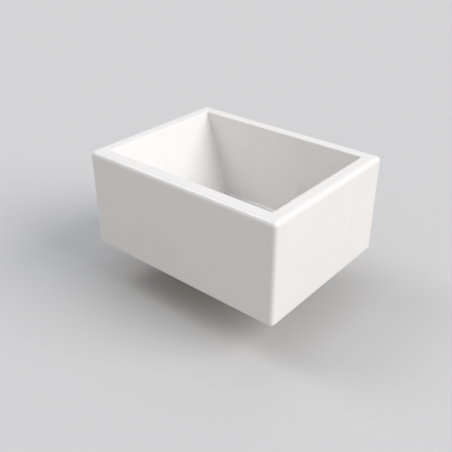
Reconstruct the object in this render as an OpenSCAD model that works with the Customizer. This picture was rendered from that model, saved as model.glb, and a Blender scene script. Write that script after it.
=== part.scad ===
// Wall-hung wash trough: a fireclay trough carried on two welded wall brackets,
// with a basket strainer waste in its floor.
// The origin is on the wall, at the centre of the four wall bolts. +Y points into
// the wall, +Z up, and the trough's long front faces -Y.

/* [Trough] */
// Length of the trough along the wall
trough_w = 595; // [500:5:720]
// Depth of the trough from the wall to its front
trough_d = 455; // [380:5:550]
// Height of the trough
trough_h = 268; // [220:1:325]
// Width of the flat rim, which is also the thickness of the front and back walls
rim_w = 38; // [32:1:46]
// Rounding of the outer upright edges and of the rim's outer edge
edge_r = 12; // [6:0.5:16]
// Thickness of the floor beside the waste's dish
base_t = 22; // [18:1:30]
// How far the two inner end walls lean out over 24 of height
end_lean = 7; // [3:0.5:8]
// Rounding between the inner walls and the floor
corner_r = 6; // [4:0.5:12]
// Depth of the shallow dish that drains the floor
floor_fall = 3; // [1:0.5:4]
// Flat floor left round the dish
floor_margin = 12; // [8:1:30]

/* [Underside] */
// Thickness of the outer end walls beside the pockets
end_wall = 28; // [22:1:34]
// Thickness of clay between a pocket and the sloping end wall
pocket_skin = 28; // [22:1:36]
// Thickness of the front and back walls beside the pockets
pocket_side = 42; // [38:1:60]
// Width of the rib between the two pockets of one end
pocket_rib = 30; // [20:1:60]
// Rounding of the pockets' upright corners
pocket_r = 8; // [4:1:12]

/* [Brackets] */
// Distance between the bolt columns of the two brackets
bolt_spacing_x = 300; // [250:5:340]
// Distance between the two bolts of one bracket
bolt_spacing_z = 60; // [50:1:72]
// Bolt hole diameter
bolt_hole_d = 11; // [9:0.5:13]
// Width of a wall plate and of the bearer arm on it
plate_w = 50; // [44:1:60]
// Plate left above the upper bolt hole
plate_top = 15; // [14:1:24]
// Plate left below the lower bolt hole
plate_foot = 20; // [14:1:24]
// Thickness of the bracket's flat steel
steel_t = 6; // [4:0.5:8]
// Distance from the trough's front to the tip of a bearer arm
arm_setback = 65; // [40:5:120]
// Height of the gusset at the tip of the arm
gusset_tip = 16; // [10:1:24]
// Wall plate left below the gusset's root
gusset_rise = 8; // [4:1:16]
// Radius of the gusset's hollow lower edge
gusset_sweep = 900; // [700:10:1500]
// Thickness of the rubber pad between an arm and the trough
pad_t = 5; // [3:0.5:8]
// Steel left bare on each side of a pad
pad_inset = 4; // [2:1:8]

/* [Waste] */
// Diameter of the strainer's threaded shank
shank_d = 85.6; // [80:0.2:92]
// Gap round the shank in the trough's waste hole
hole_gap = 2.2; // [1.5:0.1:4]
// Width of the flange beyond the shank
flange_lap = 14.2; // [12:0.1:17]
// Gap round the flange in its recess
recess_gap = 1.5; // [1:0.1:3]
// Depth of the recess that takes the flange
recess_depth = 2.5; // [2:0.1:4]
// Thickness of the flange
flange_t = 1.2; // [1:0.1:1.6]
// Wall thickness of the threaded shank
shank_wall = 2; // [1.6:0.1:2.6]
// Width of the ledge that carries the basket
ledge_w = 2; // [1.5:0.1:3]
// Depth of that ledge below the trough's seat
ledge_drop = 8; // [6:0.5:12]
// Thread left below the lock nut
thread_spare = 5.5; // [3:0.5:9]
// Height of the cup's tapered bottom
cup_taper = 10; // [8:0.5:14]
// Outer diameter of the tailpiece tube
tail_d = 38.1; // [32:0.1:46]
// Width of the spud's thread beyond the tailpiece, which makes a G 1 1/2 thread
spud_lap = 4.85; // [4:0.05:6]
// Wall thickness of the spud
spud_wall = 4.4; // [3.6:0.1:5]
// Length of the spud below the cup
spud_len = 14; // [12:0.5:20]
// Wall thickness of the tailpiece tube
tail_wall = 1; // [0.8:0.1:1.5]
// Length of the tailpiece
tail_len = 68; // [50:1:90]
// Distance from the coupling nut to the ring that marks how far a trap goes on
mark_drop = 8; // [4:1:14]

/* [Seals and nuts] */
// Thickness of the seal under the flange
flange_seal_t = 1.5; // [1:0.1:2.5]
// Thickness of the rubber seal under the trough
base_seal_t = 3; // [2:0.1:5]
// Thickness of the fibre slip washer
slip_washer_t = 1; // [0.6:0.1:1.6]
// Height of the lock nut
lock_nut_h = 12; // [10:0.5:16]
// Width of the lock nut's ring beyond the thread
lock_nut_wall = 8; // [6:0.5:10]
// Number of lugs on the lock nut
lug_count = 6; // [4:1:8]
// Thickness of the tailpiece's washer
tail_washer_t = 1.5; // [1:0.1:2.5]
// Wall of the coupling nut round the spud
coupling_wall = 4; // [3:0.5:6]
// Thickness of the coupling nut's lip under the tailpiece's flange
coupling_lip_t = 2.5; // [2:0.1:4]
// Number of grips on the coupling nut
grip_count = 8; // [6:1:12]

/* [Basket and stopper] */
// Thickness of the basket's pressed sheet
basket_t = 0.9; // [0.6:0.1:1.2]
// Inward lean of the basket's wall from top to bottom
basket_taper = 5; // [3:0.5:8]
// Diameter of the basket's drain holes
drain_hole_d = 3.6; // [3:0.2:4]
// Travel of the stopper between closed and open
stopper_travel = 8; // [5:0.5:9]
// Diameter of the stopper's post
post_d = 5; // [4:0.2:6]
// Height of the knob above the basket's clip
knob_lift = 14; // [10:1:18]
// Thickness of the stopper's rubber seal
stopper_seal_t = 3; // [2:0.1:4]
// Width of the seal's lap on the cup's bottom round the outlet
stopper_lap = 6.5; // [4:0.5:8]
// Diameter of the knob
knob_d = 18; // [14:1:22]
// Height of the knob
knob_h = 8; // [6:0.5:10]

/* [Fits] */
// Radial gap between mating threads
thread_fit = 0.1; // [0.05:0.05:0.2]
// Radial gap of the post in the basket's hub
post_fit = 0.08; // [0.05:0.01:0.1]
// Gap between pieces that move against each other
rest_gap = 0.3; // [0.2:0.05:0.4]
// Radial gap of the seals and washers round the shank
seal_fit = 0.4; // [0.2:0.1:0.8]
// Radial gap of the basket's rim in the cup
basket_fit = 0.4; // [0.3:0.1:0.8]
// Radial gap of the basket's wall in the ledge
ledge_fit = 0.8; // [0.4:0.1:1.5]
// Radial gap of the stopper's plug in the outlet
plug_fit = 0.6; // [0.3:0.1:1]

/* [Hidden] */
$fn = 96;

// How far a cutting solid runs past the face that it cuts
over = 1;

// Heights of the brackets and of the trough's underside
arm_top = bolt_spacing_z / 2 + plate_top;
base_z = arm_top + pad_t;
plate_bottom = -bolt_spacing_z / 2 - plate_foot;

// Slope of the inner end walls from the upright, in degrees
lean_height = 24;
end_slope = atan(end_lean / lean_height);

// Centres of the rolling-ball rounding at the floor's corners, in the trough's own frame
ball_x = trough_w / 2 - rim_w - (trough_h - base_t - corner_r) * tan(end_slope)
    - corner_r / cos(end_slope);
ball_y = trough_d / 2 - rim_w - corner_r;
ball_z = base_t + corner_r;
// How far the cavity's pieces run into each other, and how far above the rim they end
overlap = 30;
above_rim = 20;
dish_r = min(ball_x, ball_y) + corner_r - floor_margin;

// Radii and heights of the waste, from the seat of its flange
shank_r = shank_d / 2;
hole_r = shank_r + hole_gap;
flange_r = shank_r + flange_lap;
recess_r = flange_r + recess_gap;
cup_r = shank_r - shank_wall;
ledge_r = cup_r - ledge_w;
tail_r = tail_d / 2;
spud_r = tail_r + spud_lap;
outlet_r = spud_r - spud_wall;
stopper_r = outlet_r + stopper_lap;
seat_margin = 2;
cup_foot_r = stopper_r + seat_margin;
seat_h = base_t - floor_fall - recess_depth;
seat_z = base_z + seat_h;
flange_z = flange_seal_t;
base_seal_z = -seat_h - base_seal_t;
slip_washer_z = base_seal_z - slip_washer_t;
lock_nut_z = slip_washer_z - lock_nut_h;
shank_z = lock_nut_z - thread_spare;
cup_z = shank_z - cup_taper;
cup_floor_t = 2;
cup_base = cup_z - cup_floor_t;
spud_z = cup_base - spud_len;
tail_washer_z = spud_z - tail_washer_t;
tail_flange_t = 1.2;
tail_flange_z = tail_washer_z - tail_flange_t;
tail_flange_in = 1.1;
tail_flange_r = spud_r - tail_flange_in;
tail_z = tail_washer_z - tail_len;
coupling_z = tail_flange_z - coupling_lip_t;
coupling_rest = 2;
coupling_top = cup_base - coupling_rest;
coupling_r = spud_r + coupling_wall;

// The stopper stack, closed, and the basket above it
stopper_z = cup_z + rest_gap;
washer_t = 1;
washer_top = stopper_z + stopper_seal_t + washer_t;
basket_z = washer_top + stopper_travel + rest_gap;
basket_rim_z = -ledge_drop + rest_gap;
basket_rim_r = cup_r - basket_fit;
basket_top_r = ledge_r - ledge_fit;
basket_foot_r = basket_top_r - basket_taper;
plug_h = 2.2;
plug_r = outlet_r - plug_fit;
post_r = post_d / 2;
hub_r = 7;
hub_h = 3;
clip_t = 0.6;
clip_r = 6;
clip_z = basket_z + basket_t + hub_h;
knob_z = clip_z + clip_t + knob_lift;
nut_r = 5;
nut_h = 2.5;
post_end = 1;
post_z = stopper_z - plug_h - nut_h - post_end;
cross_t = 3;
cross_drop = 2;
cross_z = post_z - cross_drop - cross_t;
cross_bar = 2.4;
cross_hub_r = 5;
cross_ledge = 1.2;

// A rectangle with its corners rounded by true arcs
module rounded_rect(size, r) {
    translate([-size.x / 2, r - size.y / 2]) square([size.x, size.y - 2 * r]);
    translate([r - size.x / 2, -size.y / 2]) square([size.x - 2 * r, size.y]);
    for (sx = [-1, 1], sy = [-1, 1])
        translate([sx * (size.x / 2 - r), sy * (size.y / 2 - r)]) circle(r);
}

// A flat ring between two radii
module ring(r_in, r_out, h) {
    rotate_extrude() translate([r_in, 0]) square([r_out - r_in, h]);
}

// Puts a piece of the waste, which is drawn from its seat, on the trough's centre
module at_waste() {
    translate([0, -trough_d / 2, seat_z]) children();
}

// Puts a piece drawn for the right-hand bracket on the left, or leaves it
module on_side(side) {
    mirror([side < 0 ? 1 : 0, 0, 0]) children();
}

// Outline of the trough across one of its sides, with the rim's edges rounded
module block_section(len) {
    translate([-len / 2, 0]) square([len, trough_h - edge_r]);
    translate([edge_r - len / 2, 0]) square([len - 2 * edge_r, trough_h]);
    for (side = [-1, 1]) translate([side * (len / 2 - edge_r), trough_h - edge_r]) circle(edge_r);
}

// Half of a corner's outline, for turning about the corner's centre
module corner_section() {
    square([edge_r, trough_h - edge_r]);
    translate([0, trough_h - edge_r]) intersection() {
        circle(edge_r);
        square(edge_r + over);
    }
}

// The trough's outside: two crossing blocks and four turned corners
module block() {
    run_x = trough_w - 2 * edge_r;
    run_y = trough_d - 2 * edge_r;
    translate([-run_x / 2, 0, 0]) rotate([90, 0, 90])
        linear_extrude(run_x) block_section(trough_d);
    translate([0, run_y / 2, 0]) rotate([90, 0, 0])
        linear_extrude(run_y) block_section(trough_w);
    for (mx = [0, 1], my = [0, 1]) mirror([mx, 0, 0]) mirror([0, my, 0])
        translate([run_x / 2, run_y / 2, 0]) rotate_extrude(angle = 90) corner_section();
}

// Outline of a rounded edge that runs from front to back, on the outer side of its axis
module end_edge() {
    translate([0, -ball_y]) square([corner_r, 2 * ball_y]);
    intersection() {
        for (side = [-1, 1]) translate([0, side * ball_y]) circle(corner_r);
        translate([0, -ball_y - corner_r - over])
            square([corner_r + over, 2 * (ball_y + corner_r + over)]);
    }
}

// One sloping end of the cavity, and the rounding at its foot
module cavity_end() {
    slant = (trough_h + above_rim - ball_z) / cos(end_slope);
    translate([ball_x, 0, ball_z]) rotate([0, end_slope, 0]) {
        linear_extrude(slant) {
            end_edge();
            translate([-overlap, -ball_y - corner_r])
                square([overlap, 2 * (ball_y + corner_r)]);
        }
        rotate([-90, 0, 0]) rotate_extrude() end_edge();
    }
}

// The trough's cavity, square to the front and back and sloping at the ends
module cavity() {
    top = trough_h + above_rim;
    spread = (top - ball_z) * tan(end_slope);
    inset = overlap / 2;
    translate([-ball_x, 0, 0]) rotate([90, 0, 90]) linear_extrude(2 * ball_x) {
        translate([-ball_y, base_t]) square([2 * ball_y, corner_r]);
        translate([-ball_y - corner_r, ball_z]) square([2 * (ball_y + corner_r), overlap]);
        for (side = [-1, 1]) translate([side * ball_y, ball_z]) circle(corner_r);
    }
    translate([0, ball_y + corner_r, 0]) rotate([90, 0, 0])
        linear_extrude(2 * (ball_y + corner_r)) polygon([
            [inset - ball_x, ball_z], [ball_x - inset, ball_z],
            [ball_x - inset + spread, top], [inset - ball_x - spread, top]
        ]);
    cavity_end();
    mirror([1, 0, 0]) cavity_end();
}

// One pocket under the right-hand end, a wedge that keeps the end wall even
module pocket() {
    outer_x = trough_w / 2 - end_wall;
    inner_x = trough_w / 2 - rim_w - trough_h * tan(end_slope) + pocket_skin / cos(end_slope);
    crown = (outer_x - inner_x) / tan(end_slope);
    crown_w = 2 * pocket_r;
    top = crown - crown_w / tan(end_slope);
    run = trough_d / 2 - pocket_side - pocket_rib / 2;
    intersection() {
        translate([0, pocket_rib / 2 + run, -over]) rotate([90, 0, 0]) linear_extrude(run)
            polygon([
                [inner_x - over * tan(end_slope), 0], [outer_x, 0],
                [outer_x, top + over], [outer_x - crown_w, top + over]
            ]);
        translate([(inner_x + outer_x) / 2, pocket_rib / 2 + run / 2, -2 * over])
            linear_extrude(top + 4 * over)
                rounded_rect([outer_x - inner_x + 2 * over, run], pocket_r);
    }
}

module basin() {
    color("white") translate([0, -trough_d / 2, base_z]) difference() {
        block();
        cavity();
        translate([0, 0, base_t - floor_fall])
            cylinder(h = floor_fall, r1 = recess_r, r2 = dish_r);
        translate([0, 0, seat_h]) cylinder(h = base_t, r = recess_r);
        translate([0, 0, -over]) cylinder(h = base_t, r = hole_r);
        for (mx = [0, 1], my = [0, 1]) mirror([mx, 0, 0]) mirror([0, my, 0]) pocket();
    }
}

// Strainer body: flange, threaded cup, basket ledge and outlet spud, turned in one piece
module strainer_body() {
    throat = 0.75 * shank_wall;
    taper_skin = 1.5;
    shank_step = shank_wall / 2;
    color("silver") at_waste() rotate_extrude() difference() {
        union() {
            translate([0, flange_z]) square([flange_r, flange_t]);
            translate([0, shank_z]) square([shank_r, flange_z - shank_z]);
            polygon([[0, cup_base], [cup_foot_r + taper_skin, cup_base], [shank_r - shank_step, shank_z],
                [shank_r - shank_step, shank_z + over], [0, shank_z + over]]);
            translate([0, spud_z]) square([spud_r, cup_z - spud_z]);
        }
        translate([0, -ledge_drop]) square([cup_r, ledge_drop + flange_z + flange_t + over]);
        polygon([[0, flange_z], [cup_r, flange_z], [cup_r + throat, flange_z + flange_t],
            [cup_r + throat, flange_z + flange_t + over], [0, flange_z + flange_t + over]]);
        translate([0, shank_z]) square([ledge_r, -ledge_drop - shank_z + over]);
        polygon([[0, cup_z], [cup_foot_r, cup_z], [ledge_r, shank_z], [ledge_r, shank_z + over],
            [0, shank_z + over]]);
        translate([0, cross_z]) square([outlet_r, cup_z - cross_z + over]);
        translate([0, spud_z - over]) square([outlet_r - cross_ledge, cross_z - spud_z + 2 * over]);
    }
}

// Cross bars that keep the outlet clear, standing on the ledge in the spud
module outlet_cross() {
    rim_t = 1.5;
    lap = 0.4;
    color("silver") at_waste() translate([0, 0, cross_z]) {
        ring(outlet_r - rim_t, outlet_r - thread_fit, cross_t);
        ring(cross_hub_r - cross_bar, cross_hub_r, cross_t);
        for (turn = [0:90:270]) rotate([0, 0, turn])
            translate([cross_hub_r - lap, -cross_bar / 2, 0])
                cube([outlet_r - rim_t - cross_hub_r + 2 * lap, cross_bar, cross_t]);
    }
}

module flange_seal() {
    inner = 1;
    outer = 1.5;
    color("dimgray") at_waste() ring(hole_r + inner, flange_r - outer, flange_seal_t);
}

module base_seal() {
    lap = 11;
    color("dimgray") at_waste() translate([0, 0, base_seal_z])
        ring(shank_r + seal_fit, hole_r + lap, base_seal_t);
}

module slip_washer() {
    color("tan") at_waste() translate([0, 0, slip_washer_z])
        ring(shank_r + seal_fit, shank_r + lock_nut_wall, slip_washer_t);
}

// Lock nut: a ring with lugs for a spanner
module lock_nut() {
    outer_r = shank_r + lock_nut_wall;
    lug_w = 11;
    lug_out = 4;
    lug_root = 5;
    collar_h = 4;
    collar_lap = 1.5;
    color("gray") at_waste() translate([0, 0, lock_nut_z]) difference() {
        union() {
            cylinder(h = lock_nut_h, r = outer_r - collar_lap);
            translate([0, 0, lock_nut_h - collar_h]) cylinder(h = collar_h, r = outer_r);
            for (i = [0:lug_count - 1]) rotate([0, 0, i * 360 / lug_count])
                translate([outer_r - lug_root, -lug_w / 2, 0])
                    cube([lug_root + lug_out, lug_w, lock_nut_h - collar_h / 2]);
        }
        translate([0, 0, -over]) cylinder(h = lock_nut_h + 2 * over, r = shank_r + thread_fit);
    }
}

module tailpiece_washer() {
    color("ivory") at_waste() translate([0, 0, tail_washer_z])
        ring(tail_r - tail_wall, tail_flange_r, tail_washer_t);
}

// Tailpiece: a flanged tube, with a fine ring turned in it below the coupling nut
module tailpiece() {
    mark_h = 1.5;
    mark_dip = 0.3;
    mark_z = coupling_z - mark_drop - mark_h;
    bore_r = tail_r - tail_wall;
    color("silver") at_waste() rotate_extrude() difference() {
        union() {
            translate([bore_r, tail_flange_z]) square([tail_flange_r - bore_r, tail_flange_t]);
            translate([bore_r, tail_z]) square([tail_wall, tail_len]);
        }
        translate([tail_r - mark_dip, mark_z]) square([mark_dip + over, mark_h]);
    }
}

// Coupling nut: threaded on the spud, with a lip that lifts the tailpiece's flange
module coupling_nut() {
    height = coupling_top - coupling_z;
    grip_w = 7;
    grip_out = 2.5;
    grip_root = 3;
    color("silver") at_waste() translate([0, 0, coupling_z]) difference() {
        union() {
            cylinder(h = height, r = coupling_r);
            for (i = [0:grip_count - 1]) rotate([0, 0, i * 360 / grip_count])
                translate([coupling_r - grip_root, -grip_w / 2, 0])
                    cube([grip_root + grip_out, grip_w, height - grip_root]);
        }
        translate([0, 0, -over]) cylinder(h = height + 2 * over, r = tail_r + rest_gap);
        translate([0, 0, coupling_lip_t]) cylinder(h = height, r = spud_r + thread_fit);
    }
}

// Outline of the basket's pressed shell, hub included
module basket_section() {
    bend = 4;
    difference() {
        union() {
            translate([0, basket_rim_z]) square([basket_rim_r, basket_t]);
            polygon([[0, basket_z], [basket_foot_r - bend, basket_z], [basket_foot_r, basket_z + bend],
                [basket_top_r, basket_rim_z], [basket_top_r, basket_rim_z + basket_t],
                [0, basket_rim_z + basket_t]]);
        }
        polygon([[0, basket_z + basket_t], [basket_foot_r - bend, basket_z + basket_t],
            [basket_foot_r - basket_t, basket_z + bend], [basket_top_r - basket_t, basket_rim_z],
            [basket_top_r - basket_t, basket_rim_z + basket_t + over],
            [0, basket_rim_z + basket_t + over]]);
    }
    translate([0, basket_z]) square([hub_r, hub_h + basket_t]);
}

// Basket: a pressed cup with drain holes in its bottom and wall
module basket() {
    rings = 3;
    edge = 6;
    first_r = hub_r + 4;
    first_count = 8;
    count_step = 6;
    ring_step = (basket_foot_r - edge - first_r) / (rings - 1);
    wall_z = (basket_z + basket_rim_z) / 2;
    wall_holes = 24;
    color("gainsboro") at_waste() difference() {
        rotate_extrude() basket_section();
        translate([0, 0, basket_z - over])
            cylinder(h = hub_h + basket_t + 2 * over, r = post_r + post_fit);
        for (i = [0:rings - 1], j = [0:first_count + count_step * i - 1])
            rotate([0, 0, (j + i / 2) * 360 / (first_count + count_step * i)])
                translate([first_r + i * ring_step, 0, basket_z - over])
                    cylinder(h = basket_t + 2 * over, d = drain_hole_d);
        for (j = [0:wall_holes - 1]) rotate([0, 0, (j + 0.5) * 360 / wall_holes])
            translate([basket_foot_r - edge, 0, wall_z]) rotate([0, 90, 0])
                cylinder(h = basket_taper + 2 * edge, d = drain_hole_d);
    }
}

// Spring clip on the basket's hub, which grips the stopper's post
module post_clip() {
    slot_w = 2;
    color("silver") at_waste() translate([0, 0, clip_z]) difference() {
        cylinder(h = clip_t, r = clip_r);
        translate([0, 0, -over]) cylinder(h = clip_t + 2 * over, r = post_r + post_fit);
        translate([0, -slot_w / 2, -over]) cube([clip_r + over, slot_w, clip_t + 2 * over]);
    }
}

// Post, with a groove for the clip at each end of its travel
module stopper_post() {
    groove = 0.4;
    play = 0.2;
    color("silver") at_waste() rotate_extrude() difference() {
        translate([0, post_z]) square([post_r, knob_z - post_z]);
        for (z = [clip_z, clip_z - stopper_travel])
            translate([post_r - groove, z - play]) square([groove + over, clip_t + 2 * play]);
    }
}

// Knob: a waisted button with a domed top
module stopper_knob() {
    knob_r = knob_d / 2;
    dome = 14;
    waist_r = 4.4;
    waist_out = 1;
    color("silver") at_waste() translate([0, 0, knob_z]) rotate_extrude() difference() {
        intersection() {
            square([knob_r, knob_h]);
            translate([0, knob_h - dome]) circle(dome);
        }
        translate([knob_r + waist_out, 0]) circle(waist_r);
    }
}

module stopper_washer() {
    washer_r = 12;
    color("silver") at_waste() translate([0, 0, stopper_z + stopper_seal_t])
        ring(post_r, washer_r, washer_t);
}

// Rubber seal: a lip that laps the cup's bottom, and a plug that centres it in the outlet
module stopper_seal() {
    plug_taper = 1;
    lip_in = 0.6;
    crown_in = 4;
    color("black") at_waste() translate([0, 0, stopper_z]) rotate_extrude() polygon([
        [post_r, -plug_h], [plug_r - plug_taper, -plug_h], [plug_r, 0], [stopper_r, 0],
        [stopper_r - lip_in, stopper_seal_t / 2], [stopper_r - crown_in, stopper_seal_t],
        [post_r, stopper_seal_t]
    ]);
}

module stopper_nut() {
    color("silver") at_waste() translate([0, 0, stopper_z - plug_h - nut_h]) difference() {
        cylinder(h = nut_h, r = nut_r, $fn = 6);
        translate([0, 0, -over]) cylinder(h = nut_h + 2 * over, r = post_r);
    }
}

// Inner edge of the right-hand bracket, and the middle of its bolt column
bolt_x = bolt_spacing_x / 2;
plate_in = bolt_x - plate_w / 2;
arm_len = trough_d - arm_setback - steel_t;

// Wall plate of one bracket, with its two bolt holes
module wall_plate(side) {
    height = arm_top - plate_bottom;
    corner = 6;
    color("lightgray") on_side(side) rotate([90, 0, 0]) difference() {
        translate([bolt_x, plate_bottom + height / 2, 0])
            linear_extrude(steel_t) rounded_rect([plate_w, height], corner);
        for (z = [-1, 1]) translate([bolt_x, z * bolt_spacing_z / 2, -over])
            cylinder(h = steel_t + 2 * over, d = bolt_hole_d);
    }
}

// Bearer arm: a flat bar with a round nose
module bearer_arm(side) {
    nose = plate_w / 2;
    color("lightgray") on_side(side) translate([bolt_x, -steel_t, arm_top - steel_t])
        linear_extrude(steel_t) {
            translate([-nose, nose - arm_len]) square([plate_w, arm_len - nose]);
            translate([0, nose - arm_len]) circle(nose);
        }
}

// Gusset: a tapered web under the arm's inner edge, with a hollow lower edge
module gusset(side) {
    depth = arm_top - steel_t - plate_bottom - gusset_rise;
    run = arm_len - plate_w;
    notch = 10;
    chord = norm([run, depth - gusset_tip]);
    lean = atan2(depth - gusset_tip, run);
    bow = sqrt(gusset_sweep * gusset_sweep - chord * chord / 4);
    color("lightgray") on_side(side) translate([plate_in, -steel_t, arm_top - steel_t])
        rotate([90, 0, -90]) mirror([0, 0, 1]) linear_extrude(steel_t) difference() {
            polygon([[0, 0], [0, -depth], [run, -gusset_tip], [run, 0]]);
            translate([run / 2, -(depth + gusset_tip) / 2]) rotate(lean)
                translate([0, -bow]) circle(gusset_sweep, $fn = 720);
            circle(notch);
        }
}

// Rubber pad between an arm and the trough
module bearing_pad(side) {
    flat = 1;
    width = plate_w - 2 * pad_inset;
    len = arm_len - 2 * pad_inset;
    color("dimgray") on_side(side) translate([bolt_x, -steel_t - pad_inset - len / 2, arm_top])
        linear_extrude(pad_t) rounded_rect([width, len], width / 2 - flat);
}

basin();
strainer_body();
outlet_cross();
flange_seal();
base_seal();
slip_washer();
lock_nut();
tailpiece_washer();
tailpiece();
coupling_nut();
basket();
post_clip();
stopper_post();
stopper_knob();
stopper_washer();
stopper_seal();
stopper_nut();
wall_plate(-1);  // wall_plate_left
wall_plate(1);  // wall_plate_right
bearer_arm(-1);  // bearer_arm_left
bearer_arm(1);  // bearer_arm_right
gusset(-1);  // gusset_left
gusset(1);  // gusset_right
bearing_pad(-1);  // bearing_pad_left
bearing_pad(1);  // bearing_pad_right
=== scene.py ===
"""A wall-hung fireclay wash trough on two welded brackets, with a basket strainer waste.

Sizes are in millimetres and meshes in metres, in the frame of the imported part: the origin
is on the wall between the four wall bolts, +Y points into the wall and +Z up. Each shape is
worked out as arrays: a ring of stations round the piece, and a row of such rings along it.
"""

import logging
import math
from collections.abc import Callable
from dataclasses import dataclass
from enum import Enum

import bmesh
import bpy
import numpy as np
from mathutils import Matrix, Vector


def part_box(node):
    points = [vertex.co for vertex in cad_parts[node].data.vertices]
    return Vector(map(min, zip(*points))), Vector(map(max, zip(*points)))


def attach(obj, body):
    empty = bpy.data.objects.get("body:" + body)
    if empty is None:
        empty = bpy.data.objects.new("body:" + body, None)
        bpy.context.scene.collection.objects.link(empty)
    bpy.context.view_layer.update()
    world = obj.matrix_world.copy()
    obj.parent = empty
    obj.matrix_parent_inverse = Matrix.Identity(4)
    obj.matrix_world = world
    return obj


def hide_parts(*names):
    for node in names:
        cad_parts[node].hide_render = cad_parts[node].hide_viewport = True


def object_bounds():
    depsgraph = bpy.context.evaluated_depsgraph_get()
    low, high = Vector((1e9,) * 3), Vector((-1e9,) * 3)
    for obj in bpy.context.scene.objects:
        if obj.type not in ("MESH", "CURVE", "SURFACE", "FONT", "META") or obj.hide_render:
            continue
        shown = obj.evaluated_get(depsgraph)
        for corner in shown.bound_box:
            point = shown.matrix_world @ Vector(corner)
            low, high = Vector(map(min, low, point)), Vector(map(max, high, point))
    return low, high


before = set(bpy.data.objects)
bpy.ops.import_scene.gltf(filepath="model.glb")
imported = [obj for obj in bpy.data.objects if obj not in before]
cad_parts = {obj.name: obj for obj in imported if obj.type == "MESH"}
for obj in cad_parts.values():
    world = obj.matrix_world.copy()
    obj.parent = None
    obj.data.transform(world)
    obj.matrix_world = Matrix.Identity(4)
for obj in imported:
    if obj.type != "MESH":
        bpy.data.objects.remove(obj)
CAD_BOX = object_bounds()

Array = np.ndarray
Colour = tuple[float, float, float]
Piece = bpy.types.Object
MM = 0.001
QUARTER = math.pi / 2
MERGE = 0.002 * MM
SHARP = 32.0
AROUND = 96
PIPE_PITCH = 2.309
SQUARE = ((-1, -1), (1, -1), (1, 1), (-1, 1))
FALLING = (1.0, 0.0)
log = logging.getLogger("trough")


class Side(Enum):
    """The side of the trough that a bracket stands on, as the sign of its X."""

    LEFT = -1
    RIGHT = 1


class Body(Enum):
    """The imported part's bodies, one for each thing that moves by itself."""

    TROUGH = "trough"
    BASKET = "basket"
    STOPPER = "stopper"


# Arrays


@dataclass(frozen=True)
class Extent:
    """The box of a CAD node, in millimetres."""

    low: Array
    high: Array

    @classmethod
    def of(cls, node: str) -> "Extent":
        """Returns the box of the node with that name."""
        low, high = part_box(node)
        return cls(np.array(low) / MM, np.array(high) / MM)

    @property
    def size(self) -> Array:
        """Lengths of the three sides."""
        return self.high - self.low

    @property
    def centre(self) -> Array:
        """Middle of the box."""
        return (self.high + self.low) / 2

    @property
    def foot(self) -> float:
        """Its lowest height."""
        return float(self.low[2])

    @property
    def top(self) -> float:
        """Its highest height."""
        return float(self.high[2])

    @property
    def drum(self) -> tuple[float, float, float]:
        """Lowest height, highest height and radius of a round node."""
        return self.foot, self.top, float(self.size[0]) / 2


def unit(vectors: Array) -> Array:
    """The vectors at a length of 1."""
    return vectors / np.linalg.norm(vectors, axis=-1, keepdims=True)


def leftward(vectors: Array) -> Array:
    """The vectors of a plan turned left by a quarter: (-y, x)."""
    return np.stack([-vectors[..., 1], vectors[..., 0]], -1)


def spokes(angle: Array) -> Array:
    """Directions in a plan: (cos a, sin a)."""
    return np.stack([np.cos(angle), np.sin(angle)], -1)


def stations(around: int) -> Array:
    """Angles of so many even stations round an axis."""
    return np.arange(around) * 2 * math.pi / around


def lifted(flat: Array, height: Array | float) -> Array:
    """Places of a plan, shape (..., 2), at heights that are broadcast to them."""
    return np.concatenate([flat, np.broadcast_to(height, flat.shape[:-1])[..., None]], -1)


def bend(radius: float, steps: int) -> tuple[Array, Array]:
    """Quarter arc: r (1 - sin a), which falls to 0, and r (1 - cos a), which rises from it."""
    turn = np.linspace(0, QUARTER, steps)
    return radius * (1 - np.sin(turn)), radius * (1 - np.cos(turn))


def between(first: Array, last: Array, parts: int) -> Array:
    """Rings that part the way from one ring to another evenly, without the two."""
    share = np.linspace(0, 1, parts + 1)[1:-1, None, None]
    return first * (1 - share) + last * share


def rounded(corners: list[tuple[float, float, float]], steps: int = 6) -> Array:
    """Closed outline whose corners are arcs.

    An arc leaves each side at radius * tan(turn / 2) from the corner, and turns about the
    point one radius to the inner side of that place.

    Args:
        corners: (a, b, radius) of each corner, in order.
        steps: points on each arc.

    Returns:
        Points of the outline, shape (n, 2), with no point twice in a row.
    """
    table = np.array(corners, float)
    place, radius = table[:, :2], table[:, 2:]
    arrive = unit(place - np.roll(place, 1, 0))
    leave = np.roll(arrive, -1, 0)
    turn = np.arctan2((leftward(arrive) * leave).sum(1), (arrive * leave).sum(1))[:, None]
    start = place - arrive * (radius * np.tan(np.abs(turn) / 2))
    spoke = -leftward(arrive) * (np.sign(turn) * radius)
    hub = (start - spoke)[:, None]
    spoke, swing = spoke[:, None], (turn * np.linspace(0, 1, steps))[..., None]
    points = (hub + (spoke * np.cos(swing) + leftward(spoke) * np.sin(swing))).reshape(-1, 2)
    return points[np.linalg.norm(points - np.roll(points, 1, 0), axis=1) > 1e-7]


def refined(outline: Array, longest: Array | float) -> Array:
    """The closed outline with points added, so that no stretch is longer than it may be.

    Args:
        outline: points, shape (n, 2).
        longest: longest stretch, one number or one for each side of the outline.

    Returns:
        Points of the same outline.
    """
    side = np.roll(outline, -1, 0) - outline
    parts = np.maximum(1, np.ceil(np.linalg.norm(side, axis=1) / longest)).astype(int)
    which = np.repeat(np.arange(len(outline)), parts)
    step = np.arange(parts.sum()) - np.repeat(np.cumsum(parts) - parts, parts)
    return outline[which] + side[which] * (step / parts[which])[:, None]


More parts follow.
